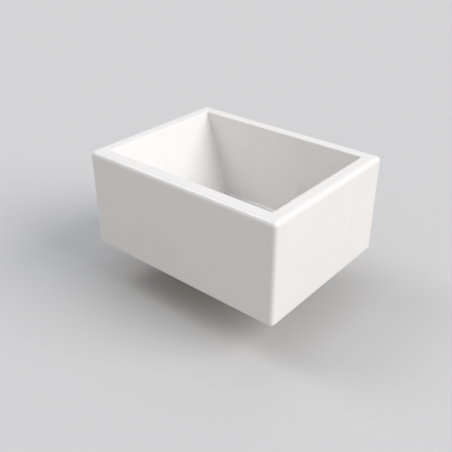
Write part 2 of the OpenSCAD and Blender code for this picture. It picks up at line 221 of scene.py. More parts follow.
def slab(outline: Array, low: float, high: float, ease: float, soft: float) -> Array:
    """Rings of an upright slab with mitred corners and eased edges above and below.

    A ring that lies 0, soft or ease from an end is drawn in by ease, soft or 0.

    Args:
        outline: closed outline in counter-clockwise order, shape (n, 2).
        low: lowest height.
        high: highest height.
        ease: size of the eased edge.
        soft: place of the ring within it.

    Returns:
        The rings, shape (6, n, 3).
    """
    rise = np.array([0.0, soft, ease])
    out = -leftward(unit(np.roll(outline, -1, 0) - outline))
    before = np.roll(out, 1, 0)
    mitre = (out + before) / (1 + (out * before).sum(1))[:, None]
    rows = outline - mitre * np.concatenate([rise[::-1], rise])[:, None, None]
    return lifted(rows, np.concatenate([low + rise, high - rise[::-1]])[:, None])


def grid_faces(rows: int, cols: int, closed: bool) -> list[list[int]]:
    """Quads of a grid whose columns always close on themselves.

    Args:
        rows: number of rings.
        cols: stations on a ring.
        closed: whether the last ring joins the first.

    Returns:
        Corner numbers of each quad.
    """
    row, col = np.meshgrid(np.arange(rows if closed else rows - 1), np.arange(cols), indexing="ij")
    over, on = (row + 1) % rows, (col + 1) % cols
    quads = np.stack([row * cols + col, row * cols + on, over * cols + on, over * cols + col], -1)
    return quads.reshape(-1, 4).tolist()


def ramp(value: Array, low: float, high: float) -> Array:
    """Smooth step from 0 at low to 1 at high: 3 t^2 - 2 t^3."""
    t = np.clip((value - low) / (high - low), 0, 1)
    return t * t * (3 - 2 * t)


def helix(rings: Array, angle: Array, low: float, high: float, pitch: float) -> Array:
    """How deep a thread's groove is at each place, from 0 to 1.

    The groove repeats once a pitch and climbs one pitch a turn: a triangle wave of
    height / pitch - angle / full turn, that fades in over one pitch at each end.

    Args:
        rings: height of each ring, shape (rows,).
        angle: angle of each station, shape (cols,).
        low: lowest height of the thread.
        high: highest height of the thread.
        pitch: distance between two grooves.

    Returns:
        Groove depth, shape (rows, cols).
    """
    phase = (rings[:, None] / pitch - angle[None, :] / (2 * math.pi)) % 1
    wave = np.clip(2.4 * np.abs(phase - 0.5) - 0.1, 0, 1)
    return wave * (ramp(rings, low, low + pitch) * ramp(-rings, -high, pitch - high))[:, None]


@dataclass(frozen=True)
class Thread:
    """The outside threads of one turned piece, as (radius, lowest height, highest height).

    Stretches of the profile that carry a thread are parted finely, the others coarsely.
    """

    places: list[tuple[float, float, float]]
    depth: float
    fine: float
    coarse: float
    pitch: float = PIPE_PITCH
    around: int = AROUND
    near: float = 0.02

    def cut(self, outline: Array) -> tuple[Array, Array]:
        """Adds points to the stretches that carry a thread, and works out its grooves.

        Args:
            outline: (radius, height) of the piece's profile, shape (n, 2).

        Returns:
            The profile, and how far each of its places is cut in, shape (m, around).
        """
        after = np.roll(outline, -1, 0)
        carries = np.zeros(len(outline), bool)
        for radius, _, high in self.places:
            off = np.maximum(np.abs(outline[:, 0] - radius), np.abs(after[:, 0] - radius))
            carries |= (off < self.near / 2) & (np.minimum(outline[:, 1], after[:, 1]) < high)
        profile = refined(outline, np.where(carries, self.fine, self.coarse))
        angle = stations(self.around)
        grooves = sum(
            helix(profile[:, 1], angle, low, high, self.pitch)
            * (np.abs(profile[:, 0] - radius) < self.near)[:, None]
            for radius, low, high in self.places
        )
        return profile, self.depth * grooves


# Meshes


def placed(name: str, data: bpy.types.ID) -> Piece:
    """New object of the scene, at the origin.

    Args:
        name: the object's name.
        data: the mesh, lamp or camera that it shows.

    Returns:
        The object.
    """
    holder = bpy.data.objects.new(name, data)
    bpy.context.scene.collection.objects.link(holder)
    return holder


def shaded(mesh: bpy.types.Mesh, smooth: float) -> None:
    """Shades a mesh smooth, but for the edges that turn by more than so many degrees."""
    mesh.shade_smooth()
    mesh.set_sharp_from_angle(angle=math.radians(smooth))


def finished(name: str, mesh: bpy.types.Mesh, smooth: float, whole: bool = False) -> Piece:
    """Merges and shades a closed shell, and puts it in the scene.

    A shell that came out inside out is turned, which its signed volume shows.

    Args:
        name: the piece's name.
        mesh: the mesh, in metres.
        smooth: edges that turn by more than this many degrees stay sharp.
        whole: whether faces that lie in one plane become one.

    Returns:
        The object that shows the mesh.
    """
    work = bmesh.new()
    work.from_mesh(mesh)
    bmesh.ops.remove_doubles(work, verts=work.verts, dist=MERGE)
    if whole:
        flat = {"angle_limit": math.radians(0.5), "delimit": {"NORMAL"}}
        bmesh.ops.dissolve_limit(work, verts=work.verts, edges=work.edges, **flat)
    if work.calc_volume(signed=True) < 0:
        bmesh.ops.reverse_faces(work, faces=work.faces)
    work.to_mesh(mesh)
    work.free()
    shaded(mesh, smooth)
    return placed(name, mesh)


def solid(name: str, points: Array, faces: list[list[int]], smooth: float) -> Piece:
    """Piece that is a closed shell.

    Args:
        name: the piece's name.
        points: places in millimetres, shape (..., 3).
        faces: corner numbers of each face.
        smooth: edges that turn by more than this many degrees stay sharp.

    Returns:
        The object.
    """
    mesh = bpy.data.meshes.new(name)
    mesh.from_pydata((points.reshape(-1, 3) * MM).tolist(), [], faces)
    return finished(name, mesh, smooth)


def torus(name: str, rings: Array, smooth: float = SHARP) -> Piece:
    """Piece whose rings, shape (rows, cols, 3), close on themselves both ways."""
    return solid(name, rings, grid_faces(*rings.shape[:2], True), smooth)


def capped(name: str, rings: Array, smooth: float = SHARP) -> Piece:
    """Piece whose rings end in a flat face at each end.

    Args:
        name: the piece's name.
        rings: places in millimetres, shape (rows, cols, 3).
        smooth: edges that turn by more than this many degrees stay sharp.

    Returns:
        The object.
    """
    number = np.arange(rings[..., 0].size).reshape(rings.shape[:2])
    ends = [number[0, ::-1].tolist(), number[-1].tolist()]
    return solid(name, rings, grid_faces(*rings.shape[:2], False) + ends, smooth)


def turned(
    name: str,
    profile: Array,
    axis: Array,
    cut: Array | float = 0.0,
    around: int = AROUND,
    smooth: float = SHARP,
) -> Piece:
    """Piece turned about an upright axis: (r cos a, r sin a, z) for each profile point.

    A profile that starts and ends on the axis closes in a pole at each end.

    Args:
        name: the piece's name.
        profile: (radius, height) of each point, shape (n, 2).
        axis: x and y of the axis.
        cut: how far each place is cut in, shape (n, around).
        around: stations round the axis.
        smooth: edges that turn by more than this many degrees stay sharp.

    Returns:
        The object.
    """
    radius = (profile[:, :1] - cut)[..., None]
    return torus(name, lifted(axis + radius * spokes(stations(around)), profile[:, 1:]), smooth)


def dressed_copy(name: str, node: str, bevel: float, smooth: float = SHARP) -> Piece:
    """Copy of a CAD node with merged corners, whole flat faces and eased edges.

    Args:
        name: the piece's name.
        node: the CAD node.
        bevel: width of the eased edges in millimetres.
        smooth: edges that turn by more than this many degrees are eased.

    Returns:
        The object.
    """
    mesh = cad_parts[node].data.copy()
    mesh.materials.clear()
    piece = finished(name, mesh, smooth, whole=True)
    ease = piece.modifiers.new("eased edges", "BEVEL")
    ease.width = bevel * MM
    ease.segments = 2
    ease.limit_method = "ANGLE"
    ease.angle_limit = math.radians(smooth)
    ease.use_clamp_overlap = True
    piece.modifiers.new("even shading", "WEIGHTED_NORMAL").keep_sharp = True
    return piece


# Shader maths


def operator(operation: str, flip: bool = False) -> Callable[["Sock", "Sock | float"], "Sock"]:
    """Makes an operator of the socket's wrapper.

    Args:
        operation: the Math node's operation.
        flip: whether the other value comes first, as in 1 - mask.

    Returns:
        The method, which adds the node.
    """

    def method(self: "Sock", other: "Sock | float") -> "Sock":
        """Adds the Math node for the two values."""
        values = (other, self) if flip else (self, other)
        return self.tree.add("Math", {"operation": operation}, dict(enumerate(values)))

    return method


@dataclass(frozen=True)
class Sock:
    """A node's output that can be used in an expression; each operator adds a Math node."""

    tree: "Tree"
    out: bpy.types.NodeSocket

    __add__ = __radd__ = operator("ADD")
    __mul__ = __rmul__ = operator("MULTIPLY")
    __sub__, __rsub__ = operator("SUBTRACT"), operator("SUBTRACT", flip=True)
    __pow__ = operator("POWER")
    least, most = operator("MINIMUM"), operator("MAXIMUM")

    def __abs__(self) -> "Sock":
        """Distance from zero."""
        return self.tree.add("Math", {"operation": "ABSOLUTE"}, {0: self})

    def step(self, low: float, high: float, to: tuple[float, float] = (0.0, 1.0)) -> "Sock":
        """Smooth step of the value between two limits.

        Args:
            low: value at which the step starts.
            high: value at which it ends.
            to: the results at the two ends.

        Returns:
            The step's result.
        """
        names = ("Value", "From Min", "From Max", "To Min", "To Max")
        inputs = dict(zip(names, (self, low, high, *to)))
        return self.tree.add("MapRange", {"interpolation_type": "SMOOTHSTEP"}, inputs)


class Tree:
    """The node tree of one finish, or of the studio's air."""

    def __init__(self, owner: bpy.types.Material | bpy.types.World, kind: str) -> None:
        """Empties a tree and gives it an output.

        Args:
            owner: the material or world that has the tree.
            kind: the output's kind.
        """
        owner.use_nodes = True
        self.owner = owner
        self.nodes = owner.node_tree.nodes
        self.links = owner.node_tree.links
        self.nodes.clear()
        self.output = self.nodes.new("ShaderNodeOutput" + kind)

    @classmethod
    def finish(cls, name: str) -> "Tree":
        """Returns the tree of a new material."""
        return cls(bpy.data.materials.new(name), "Material")

    def add(
        self,
        kind: str,
        settings: dict | None = None,
        inputs: dict | None = None,
        out: int | str = 0,
    ) -> Sock:
        """Adds one node.

        Args:
            kind: the node's type, without the leading ShaderNode.
            settings: attributes of the node, which are set first.
            inputs: value or socket of each input, by name, identifier or number.
            out: the output that is returned, by name, identifier or number.

        Returns:
            That output.
        """
        node = self.nodes.new("ShaderNode" + kind)
        for key, value in (settings or {}).items():
            setattr(node, key, value)
        for key, value in (inputs or {}).items():
            socket = self.find(node.inputs, key)
            if isinstance(value, Sock):
                self.links.new(value.out, socket)
            else:
                socket.default_value = value
        return Sock(self, self.find(node.outputs, out))

    @staticmethod
    def find(sockets: bpy.types.bpy_prop_collection, key: int | str) -> bpy.types.NodeSocket:
        """Returns the socket with that identifier, name or number."""
        return next((s for s in sockets if s.identifier == key), None) or sockets[key]

    def end(self, shader: Sock) -> None:
        """Leads the shader to the tree's output."""
        self.links.new(shader.out, self.output.inputs["Surface"])

    def place(self, kind: str = "Object") -> Sock:
        """Coordinates, in metres."""
        return self.add("TexCoord", out=kind)

    def axes(self, vector: Sock) -> tuple[Sock, Sock, Sock]:
        """The three parts of a vector."""
        node = self.add("SeparateXYZ", inputs={0: vector}).out.node
        return tuple(Sock(self, out) for out in node.outputs)

    def vector(self, x: Sock | float, y: Sock | float, z: Sock | float) -> Sock:
        """Vector of three parts."""
        return self.add("CombineXYZ", inputs={0: x, 1: y, 2: z})

    def noise(self, vector: Sock, scale: float, detail: float = 2.0, rough: float = 0.5) -> Sock:
        """Smooth noise round 0.5, with scale features a metre."""
        names = {"Vector": vector, "Scale": scale, "Detail": detail, "Roughness": rough}
        return self.add("TexNoise", {"noise_dimensions": "3D"}, names, "Fac")

    def cells(self, vector: Sock, scale: float) -> Sock:
        """Distance from the nearest point of a scatter, in cell sizes."""
        names = {"Vector": vector, "Scale": scale}
        return self.add("TexVoronoi", {"feature": "F1"}, names, "Distance")

    def blend(self, share: Sock | float, first: Sock | Colour, second: Sock | Colour) -> Sock:
        """Mixes two colours.

        Args:
            share: 0 for the first, 1 for the second.
            first: one colour.
            second: the other colour.

        Returns:
            The mixed colour.
        """
        sides = [c if isinstance(c, Sock) else (*c, 1) for c in (first, second)]
        names = {"Factor_Float": share, "A_Color": sides[0], "B_Color": sides[1]}
        return self.add("Mix", {"data_type": "RGBA", "clamp_factor": True}, names, "Result_Color")

    def bump(self, height: Sock, distance: float, under: Sock | None = None) -> Sock:
        """Normal of a surface raised by height times distance in metres, on another normal."""
        names = {"Height": height, "Distance": distance, "Strength": 1.0}
        return self.add("Bump", inputs=names | ({"Normal": under} if under else {}))

    def seen(self) -> Sock:
        """Which rays see a place, and which only light it.

        Returns:
            1 for a ray of the camera, of gloss or through glass, and 0 for plain light.
        """
        rays = self.add("LightPath").out.node.outputs
        kinds = ("Camera", "Glossy", "Transmission")
        camera, gloss, glass = (Sock(self, rays[f"Is {kind} Ray"]) for kind in kinds)
        return camera.most(gloss).most(glass)

    def surface(self, **inputs: "Sock | float | tuple") -> bpy.types.Material:
        """Ends the tree with a Principled shader.

        Args:
            inputs: the shader's inputs, with _ for a space in each name.

        Returns:
            The finished material.
        """
        names = {key.replace("_", " "): value for key, value in inputs.items()}
        self.end(self.add("BsdfPrincipled", inputs=names, out="BSDF"))
        return self.owner


# Finishes


@dataclass(frozen=True)
class Glaze:
    """White fireclay glaze that stops short of the basin's foot, back and pockets."""

    basin: "Basin"
    name: str = "white glaze"
    white: Colour = (0.850, 0.843, 0.833)
    # Darker, warmer tone of the glaze's clouds and streaks: partly thin glaze, partly painted
    # reflection.
    thin_glaze_and_painted_reflection: Colour = (0.832, 0.820, 0.800)
    clay: Colour = (0.735, 0.665, 0.555)
    clay_dark: Colour = (0.65, 0.57, 0.455)
    speck: Colour = (0.45, 0.35, 0.25)
    gloss: float = 0.09
    clay_rough: float = 0.86
    foot_h: float = 0.0002
    back_y: float = -0.0009
    back_margin: float = 0.020
    ragged: float = 0.016
    pocket_skin: float = 0.012
    wall: float = 0.016
    rim_h: float = 0.060
    blur: float = 0.002

    def build(self, tree: Tree) -> bpy.types.Material:
        """Material of the trough, in the given empty tree.

        Args:
            tree: the empty tree.

        Returns:
            The material.
        """
        place = tree.place()
        x, y, z = tree.axes(place)
        run = tree.noise(place, 16.0, 3.0) + tree.noise(place, 420.0, 2.0) * 0.45 - 0.225
        bare = self.bare(x, y, z, run)
        mottle = tree.noise(place, 340.0, 6.0, 0.7).step(0.30, 0.72)
        cast = tree.noise(place, 9.0, 2.0).step(0.35, 0.65)
        clay = tree.blend(mottle * 0.6 + cast * 0.4, self.clay_dark, self.clay)
        # Clouds and upright streaks shift the glaze towards a darker, warmer tone. They are partly
        # uneven glaze and partly painted reflection: they stand in for the soft, streaky
        # reflections on the glossy faces.
        cloud = tree.noise(place, 7.0, 3.0).step(0.3, 0.8)
        painted_reflection_streak = tree.noise(tree.vector(x * 26, y * 26, z * 2.5), 1.0, 4.0, 0.6).step(0.35, 0.7)
        glaze = tree.blend(cloud * 0.6 + painted_reflection_streak * 0.4, self.white, self.thin_glaze_and_painted_reflection)
        speck = tree.cells(place, 42.0).step(0.016, 0.03, FALLING)
        glaze = tree.blend(speck * 0.5, glaze, self.speck)
        smear = tree.noise(place, 24.0, 4.0, 0.6).step(0.4, 0.8)
        rough = (self.gloss + smear * 0.05) * (1 - bare) + bare * self.clay_rough
        broad = tree.bump(tree.noise(place, 9.0, 1.0), 0.0011)
        peel = tree.bump(tree.noise(place, 210.0, 1.0) * (1 - bare), 0.00005, broad)
        grain = tree.bump(tree.noise(place, 900.0, 4.0, 0.7) * bare, 0.0005, peel)
        return tree.surface(
            Base_Color=tree.blend(bare, glaze, clay),
            Roughness=rough,
            Normal=tree.bump(1 - bare, 0.0003, grain),
            IOR=1.52,
            Specular_IOR_Level=0.5,
        )

    def bare(self, x: Sock, y: Sock, z: Sock, run: Sock) -> Sock:
        """Where the clay is bare, as 1.

        The foot is bare below a height, the back inside a ragged margin, and a pocket where
        a place lies well inside the outer box and well outside the sloping end wall.

        Args:
            x: place along the wall.
            y: place from the wall.
            z: height.
            run: ragged noise that moves the glaze line.

        Returns:
            The mask.
        """
        basin, skin, margin, wall = self.basin, self.pocket_skin, self.back_margin, self.wall
        half_w, top, base = basin.width / 2 * MM, basin.top * MM, basin.base * MM
        foot_z, rim_z = base + self.foot_h, top - self.rim_h
        foot = z.step(foot_z, foot_z + 0.0001, FALLING)
        inner = (half_w - abs(x)).least(top - z).least(z - base + margin)
        ragged = inner + (0.5 - run) * self.ragged
        back = ragged.step(margin, margin + 0.004) * y.step(self.back_y - 0.0004, self.back_y)
        slope = (z - top) * basin.lean + (basin.width / 2 - basin.rim_w) * MM
        outside = (abs(x) - slope).step(skin, skin + self.blur)
        inside = (half_w - abs(x)).step(wall, wall + self.blur)
        inside = inside * (y + basin.depth * MM).step(wall, wall + self.blur)
        behind = y.step(-wall - self.blur, -wall, FALLING)
        under = z.step(rim_z, rim_z + self.blur, FALLING)
        return foot.most(back).most(outside * inside * behind * under)


@dataclass(frozen=True)
class Metal:
    """Bright or cast metal with fine marks that run round the waste's axis, or none."""

    name: str
    colour: Colour
    rough: float
    spread: float
    marks: float = 0.0
    grain: float = 0.0
    smudge: float = 0.04

    def build(self, tree: Tree) -> bpy.types.Material:
        """Material of a metal piece.

        Args:
            tree: the empty tree.

        Returns:
            The material.
        """
        place = tree.place()
        x, y, z = tree.axes(place)
        axis = [float(v) * MM for v in Extent.of("strainer_body").centre[:2]]
        radius = ((x - axis[0]) ** 2.0 + (y - axis[1]) ** 2.0) ** 0.5
        lines = tree.noise(tree.vector(radius * 4200, z * 4200, 0.0), 1.0, 3.0, 0.7)
        fine = tree.noise(place, 1500.0, 3.0, 0.6)
        cloud = tree.noise(place, 60.0, 4.0, 0.6)
        rough = self.rough + lines * self.spread + cloud.step(0.35, 0.75) * self.smudge
        dull = tuple(0.82 * c for c in self.colour)
        shade = tree.blend(cloud.step(0.2, 0.8) * 0.35, self.colour, dull)
        normal = tree.bump(lines * self.marks + fine * self.grain, 0.0001)
        return tree.surface(Base_Color=shade, Metallic=1.0, Roughness=rough, Normal=normal)


@dataclass(frozen=True)
class Moulded:
    """Rubber, foam, fibre or plastic: a colour, its mottling and the relief of its skin."""

    name: str
    colour: Colour
    worn: Colour
    rough: float
    scale: float
    relief: float
    porous: bool = False
    stretch: tuple[float, float, float] = (1.0, 1.0, 1.0)

    def build(self, tree: Tree) -> bpy.types.Material:
        """Material of a moulded piece.

        Args:
            tree: the empty tree.

        Returns:
            The material.
        """
        place = tree.place()
        if self.porous:
            skin = tree.cells(place, self.scale).step(0.1, 0.6)
        else:
            along = tree.vector(*(part * by for part, by in zip(tree.axes(place), self.stretch)))
            skin = tree.noise(along, self.scale, 3.0, 0.6)
        cloud = tree.noise(place, 55.0, 4.0, 0.65)
        shade = tree.blend(cloud.step(0.4, 0.75) * 0.25 + skin * 0.15, self.colour, self.worn)
        rough = self.rough + cloud * 0.12 - skin * 0.06
        return tree.surface(Base_Color=shade, Roughness=rough, Normal=tree.bump(skin, self.relief))


@dataclass(frozen=True)
class PowderCoat:
    """Baked powder paint on steel, with the dimpled skin of the melted powder."""

    name: str = "grey powder coat"
    colour: Colour = (0.60, 0.61, 0.61)
    grime: Colour = (0.47, 0.465, 0.45)
    rough: float = 0.36

    def build(self, tree: Tree) -> bpy.types.Material:
        """Material of the brackets.

        Args:
            tree: the empty tree.

        Returns:
            The material.
        """
        place = tree.place()
        cloud = tree.noise(place, 28.0, 5.0, 0.6)
        fleck = tree.noise(place, 1300.0, 2.0)
        worn = cloud.step(0.45, 0.8) * 0.4 + fleck.step(0.62, 0.7) * 0.2
        peel = tree.bump(tree.noise(place, 480.0, 2.0, 0.4), 0.00022)
        rough = self.rough + fleck * 0.1 + cloud * 0.05
        shade = tree.blend(worn, self.colour, self.grime)
        return tree.surface(Base_Color=shade, Roughness=rough, Normal=peel)


@dataclass(frozen=True)
class Matt:
    """Matt surface of the studio floor, pale to the eye and darker in what it throws back."""

    name: str
    colour: Colour
    bounce: Colour
    rough: float = 0.9

    def build(self, tree: Tree) -> bpy.types.Material:
        """Material of the floor, in the given empty tree."""
        shade = tree.blend(tree.seen(), self.bounce, self.colour)
        return tree.surface(Base_Color=shade, Roughness=self.rough)


class Palette:
    """The finishes of the trough, each made once and named as the record's slots are."""

    plain = {
        "polished_steel": Metal(
            "turned stainless steel", (0.66, 0.655, 0.645), 0.13, 0.14, marks=0.05
        ),
        "chromed_brass": Metal("chromed brass", (0.74, 0.75, 0.76), 0.045, 0.015, smudge=0.03),
        "cast_zinc": Metal(
            "die-cast zinc", (0.40, 0.405, 0.415), 0.38, 0.05, grain=0.5, smudge=0.1
        ),
        "black_rubber": Moulded(
            "black rubber", (0.022, 0.022, 0.023), (0.07, 0.068, 0.064), 0.52, 1400.0, 0.00003
        ),
        "pad_rubber": Moulded(
            "sheet rubber", (0.035, 0.035, 0.037), (0.09, 0.087, 0.082), 0.72, 900.0, 0.00006
        ),
        "grey_foam": Moulded(
            "grey foam", (0.19, 0.19, 0.195), (0.27, 0.27, 0.27), 0.88, 2600.0, 0.0001, porous=True
        ),
        "fibre": Moulded(
            "pressed fibre", (0.30, 0.15, 0.075), (0.42, 0.25, 0.15), 0.70, 700.0, 0.00005,
            stretch=(1.0, 1.0, 6.0),
        ),
        "white_plastic": Moulded(
            "white plastic", (0.74, 0.73, 0.69), (0.66, 0.64, 0.58), 0.42, 800.0, 0.00002
        ),
        "powder_coat": PowderCoat(),
    }

    def __init__(self, basin: "Basin") -> None:
        """Builds the materials; the glaze ends where the basin's sizes say."""
        finishes = {"glazed_fireclay": Glaze(basin), **self.plain}
        self.slots = {slot: kind.build(Tree.finish(kind.name)) for slot, kind in finishes.items()}

    def dress(self, piece: Piece, slot: str, body: Body, *nodes: str) -> None:
        """Gives a piece its finish and its body, and hides the CAD nodes that it stands for.

        Args:
            piece: the finished piece.
            slot: the record's material slot.
            body: the body that it moves with.
            nodes: the CAD nodes that it replaces.
        """
        piece.data.materials.clear()
        piece.data.materials.append(self.slots[slot])
        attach(piece, body.value)
        if nodes:
            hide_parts(*nodes)
        log.info("%s: %d faces, rides on %s", piece.name, len(piece.data.polygons), body.value)


# The trough


@dataclass
class Basin:
    """The fireclay trough: upright outer walls, two sloping inner ends and a dished floor."""

    rim_w: float = 38.0
    edge_r: float = 12.0
    corner_r: float = 6.0
    lean: float = 7.0 / 24.0
    base_t: float = 22.0
    floor_fall: float = 3.0
    floor_margin: float = 12.0
    lip_r: float = 2.0
    foot_r: float = 0.6
    recess_gap: float = 1.5
    hole_r: float = 45.0
    soft_r: float = 1.0
    end_wall: float = 28.0
    pocket_skin: float = 28.0
    pocket_side: float = 42.0
    pocket_rib: float = 30.0
    pocket_r: float = 8.0
    crown_r: float = 3.0
    along: int = 56
    corner_steps: int = 9
    swell: float = 0.3
    sharp: float = 30.0

    def __post_init__(self) -> None:
        """Takes the trough's place and its floor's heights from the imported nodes."""
        box = Extent.of("basin")
        self.width, self.depth, self.height = (float(v) for v in box.size)
        self.base, self.top, self.centre = box.foot, box.top, box.centre
        slope = math.atan(self.lean)
        self.cos, self.sin = math.cos(slope), math.sin(slope)
        self.ball_z = self.base_t + self.corner_r
        leaned = (self.height - self.ball_z) * self.lean
        ball_x = self.width / 2 - self.rim_w - leaned - self.corner_r / self.cos
        self.ball = np.array([ball_x, self.depth / 2 - self.rim_w - self.corner_r])
        self.dish_r = self.ball.min() + self.corner_r - self.floor_margin
        self.recess_r = Extent.of("strainer_body").drum[2] + self.recess_gap
        self.seat_h = Extent.of("flange_seal").foot - self.base
        self.lay_stations()

    def lay_stations(self) -> None:
        """Places round the plan, counter-clockwise.

        The share runs from -1 to 1 along a side and stays there round a corner, and the
        facing is the outward direction. One side and one corner are laid, and then turned
        by quarters: (x, y) becomes (-y, x).
        """
        run = np.linspace(-1, 1, self.along + 2)[1:-1]
        side = np.stack([np.ones_like(run), run], 1)
        share = np.concatenate([side, np.ones((self.corner_steps, 2))])
        corner = spokes(np.linspace(0, QUARTER, self.corner_steps))
        facing = np.concatenate([side * (1, 0), corner])
        turns = [np.linalg.matrix_power(np.array([[0.0, 1.0], [-1.0, 0.0]]), k) for k in range(4)]
        self.share, self.facing = (
            np.concatenate([row @ turn for turn in turns]) for row in (share, facing)
        )
        spread = self.share + 0.15 * self.facing
        self.around = spokes(np.arctan2(spread[:, 1], spread[:, 0]))

    def ring(self, half: Array, reach: Array | float, height: Array | float) -> Array:
        """Rings of a rounded rectangle: share times half sizes, plus facing times reach."""
        return lifted(self.share * half + self.facing * reach, height)

    def outer(self, inset: Array, height: Array) -> Array:
        """Rings of the outside, moved in by each inset at each height."""
        half = np.array([self.width, self.depth]) / 2 - self.edge_r
        return self.ring(half, (self.edge_r - inset)[:, None, None], height[:, None])

    def inner(self, height: Array, out: Array) -> Array:
        """Rings of the inner walls.

        The corner centres lean outwards with the ends: half x = ball x + (height - ball z)
        * lean, and a slanted round corner is an ellipse in plan.

        Args:
            height: height of each place, shape (rows, stations).
            out: how far each ring is moved out, shape (rows, 1).

        Returns:
            The rings, shape (rows, stations, 3).
        """
        leaned = self.ball[0] + (height - self.ball_z) * self.lean
        half = np.stack([leaned, np.full_like(leaned, self.ball[1])], -1)
        reach = self.corner_r / np.array([self.cos, 1.0]) + out[..., None]
        return self.ring(half, reach, height)

    def rolled_edge(self) -> Array:
        """Rings of the rolled edge between walls and floor.

        A ball of the corner radius touches the wall in the direction (cos a cos s, sin a,
        -cos a sin s), for the facing's angle a and the slope s. Each station turns from
        there to straight down on the great circle between the two.

        Returns:
            The rings, shape (8, stations, 3).
        """
        cos_a, sin_a = self.facing.T
        start = np.stack([cos_a * self.cos, sin_a, -np.abs(cos_a) * self.sin], 1)
        down = np.array([0.0, 0.0, -1.0])
        whole = np.arccos(np.clip(start @ down, -1, 1))[:, None]
        part = np.linspace(0, 1, 9)[1:, None, None]
        arc = (np.sin((1 - part) * whole) * start + np.sin(part * whole) * down) / np.sin(whole)
        return self.ring(self.ball, 0.0, self.ball_z) + self.corner_r * arc

    def walls(self) -> Array:
        """Rings from the foot up the outside, over the rim and down to the floor.

        Returns:
            The rings, shape (rows, stations, 3).
        """
        side_z = np.linspace(self.foot_r, self.height - self.edge_r, 26)[1:-1]
        fall, inset = bend(self.edge_r, 13)
        edge = self.outer(inset, self.height - fall)
        fall, out = (part[::-1, None] for part in bend(self.lip_r, 7))
        lip = self.inner(np.repeat(self.height - fall, len(self.share), 1), out)
        low = self.ball_z - self.corner_r * np.abs(self.facing[:, 0]) * self.sin
        wall_z = low + (self.height - self.lip_r - low) * np.linspace(1, 0, 30)[1:, None]
        return np.concatenate([
            self.outer(*bend(self.foot_r, 6)),
            self.swollen(self.outer(np.zeros_like(side_z), side_z), -1),
            edge,
            between(edge[-1], lip[0], 4),
            lip,
            self.swollen(self.inner(wall_z, np.zeros((1, 1))), 1),
            self.rolled_edge(),
        ])

    def swollen(self, rings: Array, way: int) -> Array:
        """The rings with the faint unevenness of a slip-cast wall.

        Upright faces move into the clay by up to the swell, as a sum of long sine waves
        that fades out at the foot and the rim.

        Args:
            rings: places on a wall.
            way: 1 where the clay lies on the facing's side, -1 where it lies behind.

        Returns:
            The moved places.
        """
        x, y, z = np.moveaxis(rings, -1, 0)
        wave = np.sin(x / 61 + z / 47 + 1.1) * np.sin(y / 53 - z / 71)
        wave += np.sin(x / 29 - y / 37 + z / 83)
        fade = ramp(z, self.ball_z, 70) * ramp(-z, 16 - self.height, 60 - self.height)
        depth = self.swell * (0.5 + wave / 4) * fade
        return rings + way * depth[..., None] * lifted(self.facing, 0.0)

    def floor(self) -> Array:
        """Rings from the floor's edge over the dish, down the waste's hole and back below.

        Returns:
            The rings, shape (rows, stations, 3).
        """
        low = self.base_t - self.floor_fall
        dish = np.linspace(self.dish_r, self.recess_r + self.soft_r, 20)
        share = (self.dish_r - dish) / (self.dish_r - dish[-1])
        sunk = self.floor_fall * (0.8 * share + 0.2 * share**2) * ramp(share, -0.35, 0.22)
        fall, rise = bend(self.soft_r, 5)
        stretches = (
            (dish, self.base_t - sunk),
            (self.recess_r + fall[1:], low - rise[1:]),
            (self.recess_r - rise, self.seat_h + fall),
            (self.hole_r + fall, self.seat_h - rise),
            (self.hole_r + rise, fall),
        )
        radius, height = (np.concatenate(row)[:, None] for row in zip(*stretches))
        waste = lifted(radius[..., None] * self.around, height)
        edge = self.ring(self.ball, 0.0, self.base_t)
        foot = self.outer(np.array([self.foot_r]), np.zeros(1))[0]
        return np.concatenate([between(edge, waste[0], 5), waste, between(waste[-1], foot, 6)])

    def pocket(self, sign_x: int, sign_y: int) -> Array:
        """Rings of the hollow under one end.

        A rounded rectangle whose inner side leans with the end wall, so that it narrows as
        it rises, with a rolled mouth and a rounded crown.

        Args:
            sign_x: -1 for the left end, 1 for the right.
            sign_y: -1 for the front pocket, 1 for the back.

        Returns:
            Rings of the cutting solid, shape (rows, stations, 3).
        """
        outer_x = self.width / 2 - self.end_wall
        inner_x = self.width / 2 - self.rim_w - self.height * self.lean
        inner_x += self.pocket_skin / self.cos
        crown_z = (outer_x - inner_x - 2 * self.pocket_r) / self.lean
        mouth = bend(self.soft_r, 4)[0]
        fall, inset = bend(self.crown_r, 5)
        shaft = np.linspace(4, crown_z - 4, 9)
        z = np.concatenate([[-2.0], self.soft_r - mouth, shaft, crown_z - fall])
        grow = np.concatenate([[self.soft_r], mouth, np.zeros_like(shaft), -inset])
        leaned = inner_x + np.maximum(z, 0) * self.lean
        low = np.stack([leaned - grow, self.pocket_rib / 2 - grow], 1)
        high = np.stack([outer_x + grow, self.depth / 2 - self.pocket_side + grow], 1)
        size = (high - low)[:, None] / 2
        radius = np.minimum(self.pocket_r + grow, size[:, 0, 0] - 0.2)[:, None, None]
        flat = self.share[::4] * (size - radius) + self.facing[::4] * radius
        return lifted((flat + (low + high)[:, None] / 2) * (sign_x, sign_y), z[:, None])

    def build(self) -> Piece:
        """Makes the trough, with its four pockets cut out.

        Returns:
            The trough.
        """
        shift = np.array([*self.centre[:2], self.base])
        piece = torus("trough", np.concatenate([self.walls(), self.floor()]) + shift, self.sharp)
        for sign_x in (-1, 1):
            for sign_y in (-1, 1):
                self.cut(piece, capped("pocket", self.pocket(sign_x, sign_y) + shift))
        shaded(piece.data, self.sharp)
        return piece

